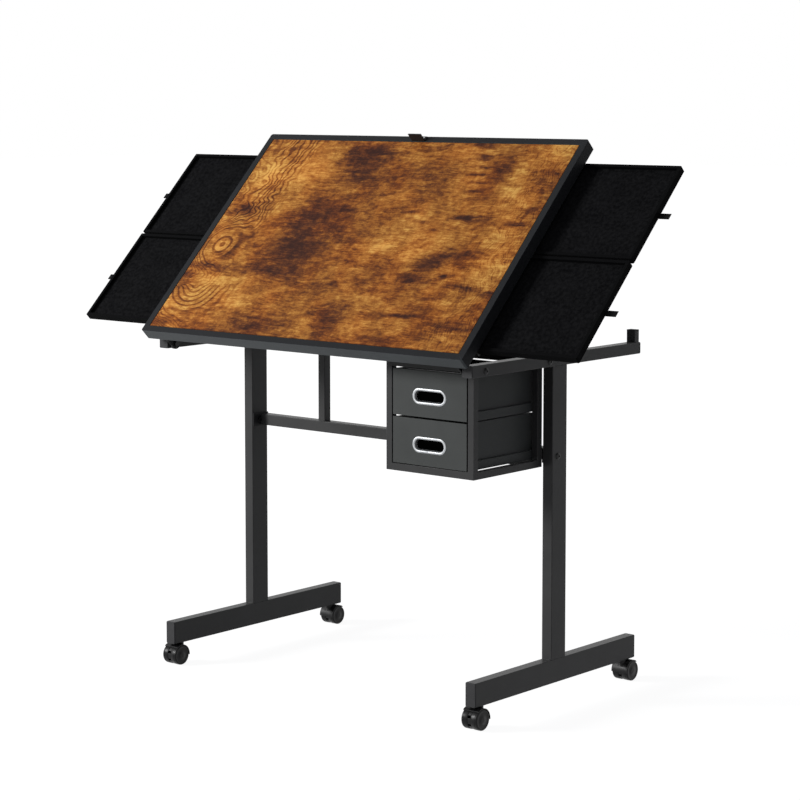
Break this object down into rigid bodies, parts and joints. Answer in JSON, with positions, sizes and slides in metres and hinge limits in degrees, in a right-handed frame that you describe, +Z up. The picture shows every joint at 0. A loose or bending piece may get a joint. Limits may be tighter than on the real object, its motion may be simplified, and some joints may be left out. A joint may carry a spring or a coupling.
{
  "type": "jigsaw puzzle table",
  "caption": "Jigsaw puzzle table with a tilting wood-print top, sliding side trays and a pair of drawers on a rolling steel stand.",
  "frame": {"origin": "on the floor, under the middle of the overall width and depth with the top tilted", "axes": "+X to the right as seen from the front, +Y to the back, +Z up"},
  "size_m": [1.428, 0.6365, 1.188],
  "materials": {
    "frame": "satin black powder coat",
    "cap": "matte",
    "bracket": "satin",
    "bolt": "black",
    "pad": "matte",
    "steel": "zinc plated",
    "drawer": "painted, matte charcoal",
    "ring": "polished",
    "rim": "satin",
    "board": "rustic brown wood print",
    "panel": "raw",
    "tray": "matte",
    "felt": "felt",
    "tab": "webbing",
    "fork": "gloss",
    "wheel": "gloss"
  },
  "bodies": {
    "stand": {"rail_left": "frame", "rail_right": "frame", "post_left": "frame", "post_right": "frame", "foot_left": "frame", "foot_right": "frame", "end_caps": "cap", "crossbar_lower": "frame", "crossbar_plates": "bracket", "crossbar_upper": "frame", "strut": "frame", "stubs": "frame", "stub_pads": "pad", "hinge_cheeks": "bracket", "pivot_bolts": "steel", "stand_bolts": "bolt", "cage_frame": "frame", "drawer_channels": "steel", "caster_sockets": "cap"},
    "top": {"hinge_arms": "bracket", "rim_front": "rim", "rim_left": "rim", "rim_back": "rim", "rim_right": "rim", "board": "board", "under_panel": "panel", "runner_front": "bracket", "runner_back": "bracket", "runner_mid": "bracket", "clip": "bracket", "top_screws": "steel"},
    "drawer_low": {"drawer_box_low": "drawer", "drawer_front_low": "drawer", "drawer_ring_low": "ring", "drawer_bars_low": "steel"},
    "drawer_up": {"drawer_box_up": "drawer", "drawer_front_up": "drawer", "drawer_ring_up": "ring", "drawer_bars_up": "steel"},
    "tray_lf": {"tray_lf": "tray", "felt_lf": "felt", "tab_lf": "tab"},
    "tray_lb": {"tray_lb": "tray", "felt_lb": "felt", "tab_lb": "tab"},
    "tray_rf": {"tray_rf": "tray", "felt_rf": "felt", "tab_rf": "tab"},
    "tray_rb": {"tray_rb": "tray", "felt_rb": "felt", "tab_rb": "tab"},
    "swivel_lf": {"fork_lf": "fork"},
    "roller_lf": {"wheel_lf": "wheel"},
    "swivel_lb": {"fork_lb": "fork"},
    "roller_lb": {"wheel_lb": "wheel"},
    "swivel_rf": {"fork_rf": "fork"},
    "roller_rf": {"wheel_rf": "wheel"},
    "swivel_rb": {"fork_rb": "fork"},
    "roller_rb": {"wheel_rb": "wheel"}
  },
  "joints": [
    {"name": "top_tilt", "type": "hinge", "parent": "stand", "child": "top", "pos_m": [0, -0.252, 0.726], "axis": [1, 0, 0], "range_deg": [-45, 0]},
    {"name": "tray_slide_lf", "type": "slide", "parent": "top", "child": "tray_lf", "axis": [-1, 0, 0], "range_m": [-0.237, 0]},
    {"name": "tray_slide_lb", "type": "slide", "parent": "top", "child": "tray_lb", "axis": [-1, 0, 0], "range_m": [-0.237, 0]},
    {"name": "tray_slide_rf", "type": "slide", "parent": "top", "child": "tray_rf", "axis": [1, 0, 0], "range_m": [-0.237, 0]},
    {"name": "tray_slide_rb", "type": "slide", "parent": "top", "child": "tray_rb", "axis": [1, 0, 0], "range_m": [-0.237, 0]},
    {"name": "drawer_slide_low", "type": "slide", "parent": "stand", "child": "drawer_low", "axis": [0, -1, 0], "range_m": [0, 0.16]},
    {"name": "drawer_slide_up", "type": "slide", "parent": "stand", "child": "drawer_up", "axis": [0, -1, 0], "range_m": [0, 0.16]},
    {"name": "caster_swivel_lf", "type": "hinge", "parent": "stand", "child": "swivel_lf", "pos_m": [-0.4275, -0.229, 0.05], "axis": [0, 0, 1], "continuous": true},
    {"name": "caster_roll_lf", "type": "hinge", "parent": "swivel_lf", "child": "roller_lf", "pos_m": [-0.4275, -0.242, 0.0217], "axis": [1, 0, 0], "continuous": true},
    {"name": "caster_swivel_lb", "type": "hinge", "parent": "stand", "child": "swivel_lb", "pos_m": [-0.4275, 0.275, 0.05], "axis": [0, 0, 1], "continuous": true},
    {"name": "caster_roll_lb", "type": "hinge", "parent": "swivel_lb", "child": "roller_lb", "pos_m": [-0.4275, 0.288, 0.0217], "axis": [1, 0, 0], "continuous": true},
    {"name": "caster_swivel_rf", "type": "hinge", "parent": "stand", "child": "swivel_rf", "pos_m": [0.4275, -0.229, 0.05], "axis": [0, 0, 1], "continuous": true},
    {"name": "caster_roll_rf", "type": "hinge", "parent": "swivel_rf", "child": "roller_rf", "pos_m": [0.4275, -0.242, 0.0217], "axis": [1, 0, 0], "continuous": true},
    {"name": "caster_swivel_rb", "type": "hinge", "parent": "stand", "child": "swivel_rb", "pos_m": [0.4275, 0.275, 0.05], "axis": [0, 0, 1], "continuous": true},
    {"name": "caster_roll_rb", "type": "hinge", "parent": "swivel_rb", "child": "roller_rb", "pos_m": [0.4275, 0.288, 0.0217], "axis": [1, 0, 0], "continuous": true}
  ]
}
